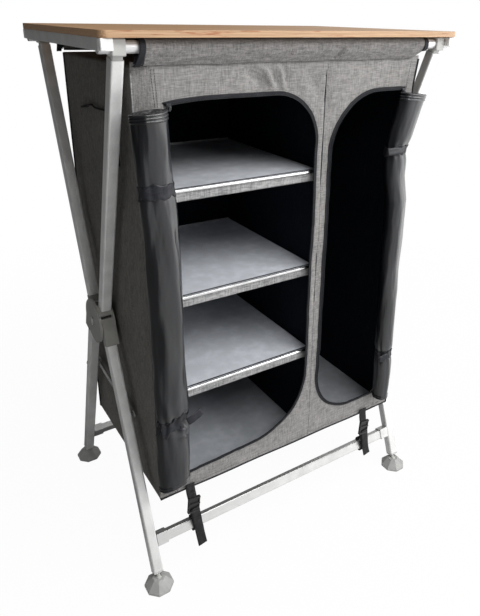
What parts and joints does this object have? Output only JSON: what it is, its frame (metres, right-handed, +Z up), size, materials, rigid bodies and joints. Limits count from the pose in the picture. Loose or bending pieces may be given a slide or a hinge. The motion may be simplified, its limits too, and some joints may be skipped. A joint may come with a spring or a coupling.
{
  "type": "camping cupboard",
  "caption": "Folding camping cupboard: a shelved fabric box with rolled-up doors, hung in crossed square aluminium legs with swivel feet under a bamboo table top.",
  "frame": {"origin": "on the floor, under the centre of the box that holds the whole cupboard", "axes": "+X to the viewer's right, -Y out of the door openings to the front, +Z up"},
  "size_m": [0.704, 0.4976, 1.04],
  "materials": {
    "bamboo": "lacquered bamboo strips",
    "brushed_aluminium": "satin anodised",
    "hub_plastic": "dark grey moulded plastic",
    "foot_plastic": "light grey moulded plastic",
    "cap_plastic": "white moulded plastic",
    "steel": "bright plated steel",
    "grey_melange": "grey cross-hatched melange weave",
    "charcoal_fabric": "charcoal plain weave",
    "coated_door_fabric": "black coated cloth with a satin sheen",
    "black_webbing": "black woven webbing",
    "shelf_board": "smooth light grey laminate"
  },
  "bodies": {
    "cupboard": {"front_panel": "grey_melange", "back_panel": "charcoal_fabric", "side_panel_left": "charcoal_fabric", "side_panel_right": "charcoal_fabric", "floor_panel": "shelf_board", "roof_panel": "charcoal_fabric", "divider": "charcoal_fabric", "door_roll_left": "coated_door_fabric", "door_roll_right": "coated_door_fabric", "hub_rivet_left": "steel", "hub_rivet_right": "steel"},
    "front_top_frame": {"front_upper_leg_left": "brushed_aluminium", "front_upper_leg_right": "brushed_aluminium", "rear_lower_leg_left": "brushed_aluminium", "rear_lower_leg_right": "brushed_aluminium", "outer_hub_left": "hub_plastic", "outer_hub_right": "hub_plastic", "front_leg_connector_left": "foot_plastic", "front_leg_connector_right": "foot_plastic", "front_top_rail": "brushed_aluminium", "rear_bottom_rail": "brushed_aluminium", "rear_foot_stem_left": "foot_plastic", "rear_foot_stem_right": "foot_plastic", "front_rail_sleeve": "grey_melange", "rear_strap_left": "black_webbing", "rear_strap_right": "black_webbing"},
    "rear_top_frame": {"rear_upper_leg_left": "brushed_aluminium", "rear_upper_leg_right": "brushed_aluminium", "front_lower_leg_left": "brushed_aluminium", "front_lower_leg_right": "brushed_aluminium", "inner_hub_left": "hub_plastic", "inner_hub_right": "hub_plastic", "rear_leg_connector_left": "foot_plastic", "rear_leg_connector_right": "foot_plastic", "rear_top_rail": "brushed_aluminium", "front_bottom_rail": "brushed_aluminium", "front_foot_stem_left": "foot_plastic", "front_foot_stem_right": "foot_plastic", "rear_rail_sleeve": "charcoal_fabric", "front_strap_left": "black_webbing", "front_strap_right": "black_webbing"},
    "table_top": {"bamboo_board": "bamboo", "side_rail_left": "brushed_aluminium", "side_rail_right": "brushed_aluminium", "rail_cap_front_left": "cap_plastic", "rail_cap_front_right": "cap_plastic", "rail_cap_rear_left": "cap_plastic", "rail_cap_rear_right": "cap_plastic"},
    "left_brace": {"locking_brace_left": "brushed_aluminium"},
    "right_brace": {"locking_brace_right": "brushed_aluminium"},
    "lower_shelf": {"shelf_1": "shelf_board", "shelf_1_rod": "steel"},
    "middle_shelf": {"shelf_2": "shelf_board", "shelf_2_rod": "steel"},
    "upper_shelf": {"shelf_3": "shelf_board", "shelf_3_rod": "steel"},
    "front_left_foot": {"front_foot_left": "foot_plastic"},
    "front_right_foot": {"front_foot_right": "foot_plastic"},
    "rear_left_foot": {"rear_foot_left": "foot_plastic"},
    "rear_right_foot": {"rear_foot_right": "foot_plastic"}
  },
  "joints": [
    {"name": "fold", "type": "hinge", "parent": "cupboard", "child": "front_top_frame", "pos_m": [0, 0, 0.5], "axis": [-1, 0, 0], "range_deg": [0, 18.5]},
    {"name": "counter_fold", "type": "hinge", "parent": "cupboard", "child": "rear_top_frame", "pos_m": [0, 0, 0.5], "axis": [1, 0, 0], "range_deg": [0, 18.5]},
    {"name": "top_lift", "type": "slide", "parent": "cupboard", "child": "table_top", "axis": [0, 0, 1], "range_m": [0, 0.0711]},
    {"name": "left_brace_lift", "type": "hinge", "parent": "front_top_frame", "child": "left_brace", "pos_m": [-0.3097, 0.09313, 0.35], "axis": [-1, 0, 0], "range_deg": [0, 37]},
    {"name": "right_brace_lift", "type": "hinge", "parent": "front_top_frame", "child": "right_brace", "pos_m": [0.3097, 0.09313, 0.35], "axis": [-1, 0, 0], "range_deg": [0, 37]},
    {"name": "lower_shelf_fold", "type": "hinge", "parent": "cupboard", "child": "lower_shelf", "pos_m": [-0.12, -0.0205, 0.4095], "axis": [-1, 0, 0], "range_deg": [0, 74]},
    {"name": "middle_shelf_fold", "type": "hinge", "parent": "cupboard", "child": "middle_shelf", "pos_m": [-0.12, -0.0205, 0.6005], "axis": [-1, 0, 0], "range_deg": [0, 74]},
    {"name": "upper_shelf_fold", "type": "hinge", "parent": "cupboard", "child": "upper_shelf", "pos_m": [-0.12, -0.0205, 0.7945], "axis": [-1, 0, 0], "range_deg": [0, 74]},
    {"name": "front_left_foot_swivel", "type": "hinge", "parent": "rear_top_frame", "child": "front_left_foot", "pos_m": [-0.322, -0.222, 0.0175], "axis": [-1, 0, 0], "range_deg": [-2, 42]},
    {"name": "front_right_foot_swivel", "type": "hinge", "parent": "rear_top_frame", "child": "front_right_foot", "pos_m": [0.322, -0.222, 0.0175], "axis": [-1, 0, 0], "range_deg": [-2, 42]},
    {"name": "rear_left_foot_swivel", "type": "hinge", "parent": "front_top_frame", "child": "rear_left_foot", "pos_m": [-0.322, 0.222, 0.0175], "axis": [1, 0, 0], "range_deg": [-2, 42]},
    {"name": "rear_right_foot_swivel", "type": "hinge", "parent": "front_top_frame", "child": "rear_right_foot", "pos_m": [0.322, 0.222, 0.0175], "axis": [1, 0, 0], "range_deg": [-2, 42]}
  ],
  "couplings": [
    {"joint": "counter_fold", "follows": "fold", "ratio": 1},
    {"joint": "top_lift", "follows": "fold", "m_per_rad": 0.22},
    {"joint": "left_brace_lift", "follows": "fold", "ratio": 2},
    {"joint": "right_brace_lift", "follows": "fold", "ratio": 2},
    {"joint": "lower_shelf_fold", "follows": "fold", "ratio": 4},
    {"joint": "middle_shelf_fold", "follows": "fold", "ratio": 4},
    {"joint": "upper_shelf_fold", "follows": "fold", "ratio": 4}
  ]
}
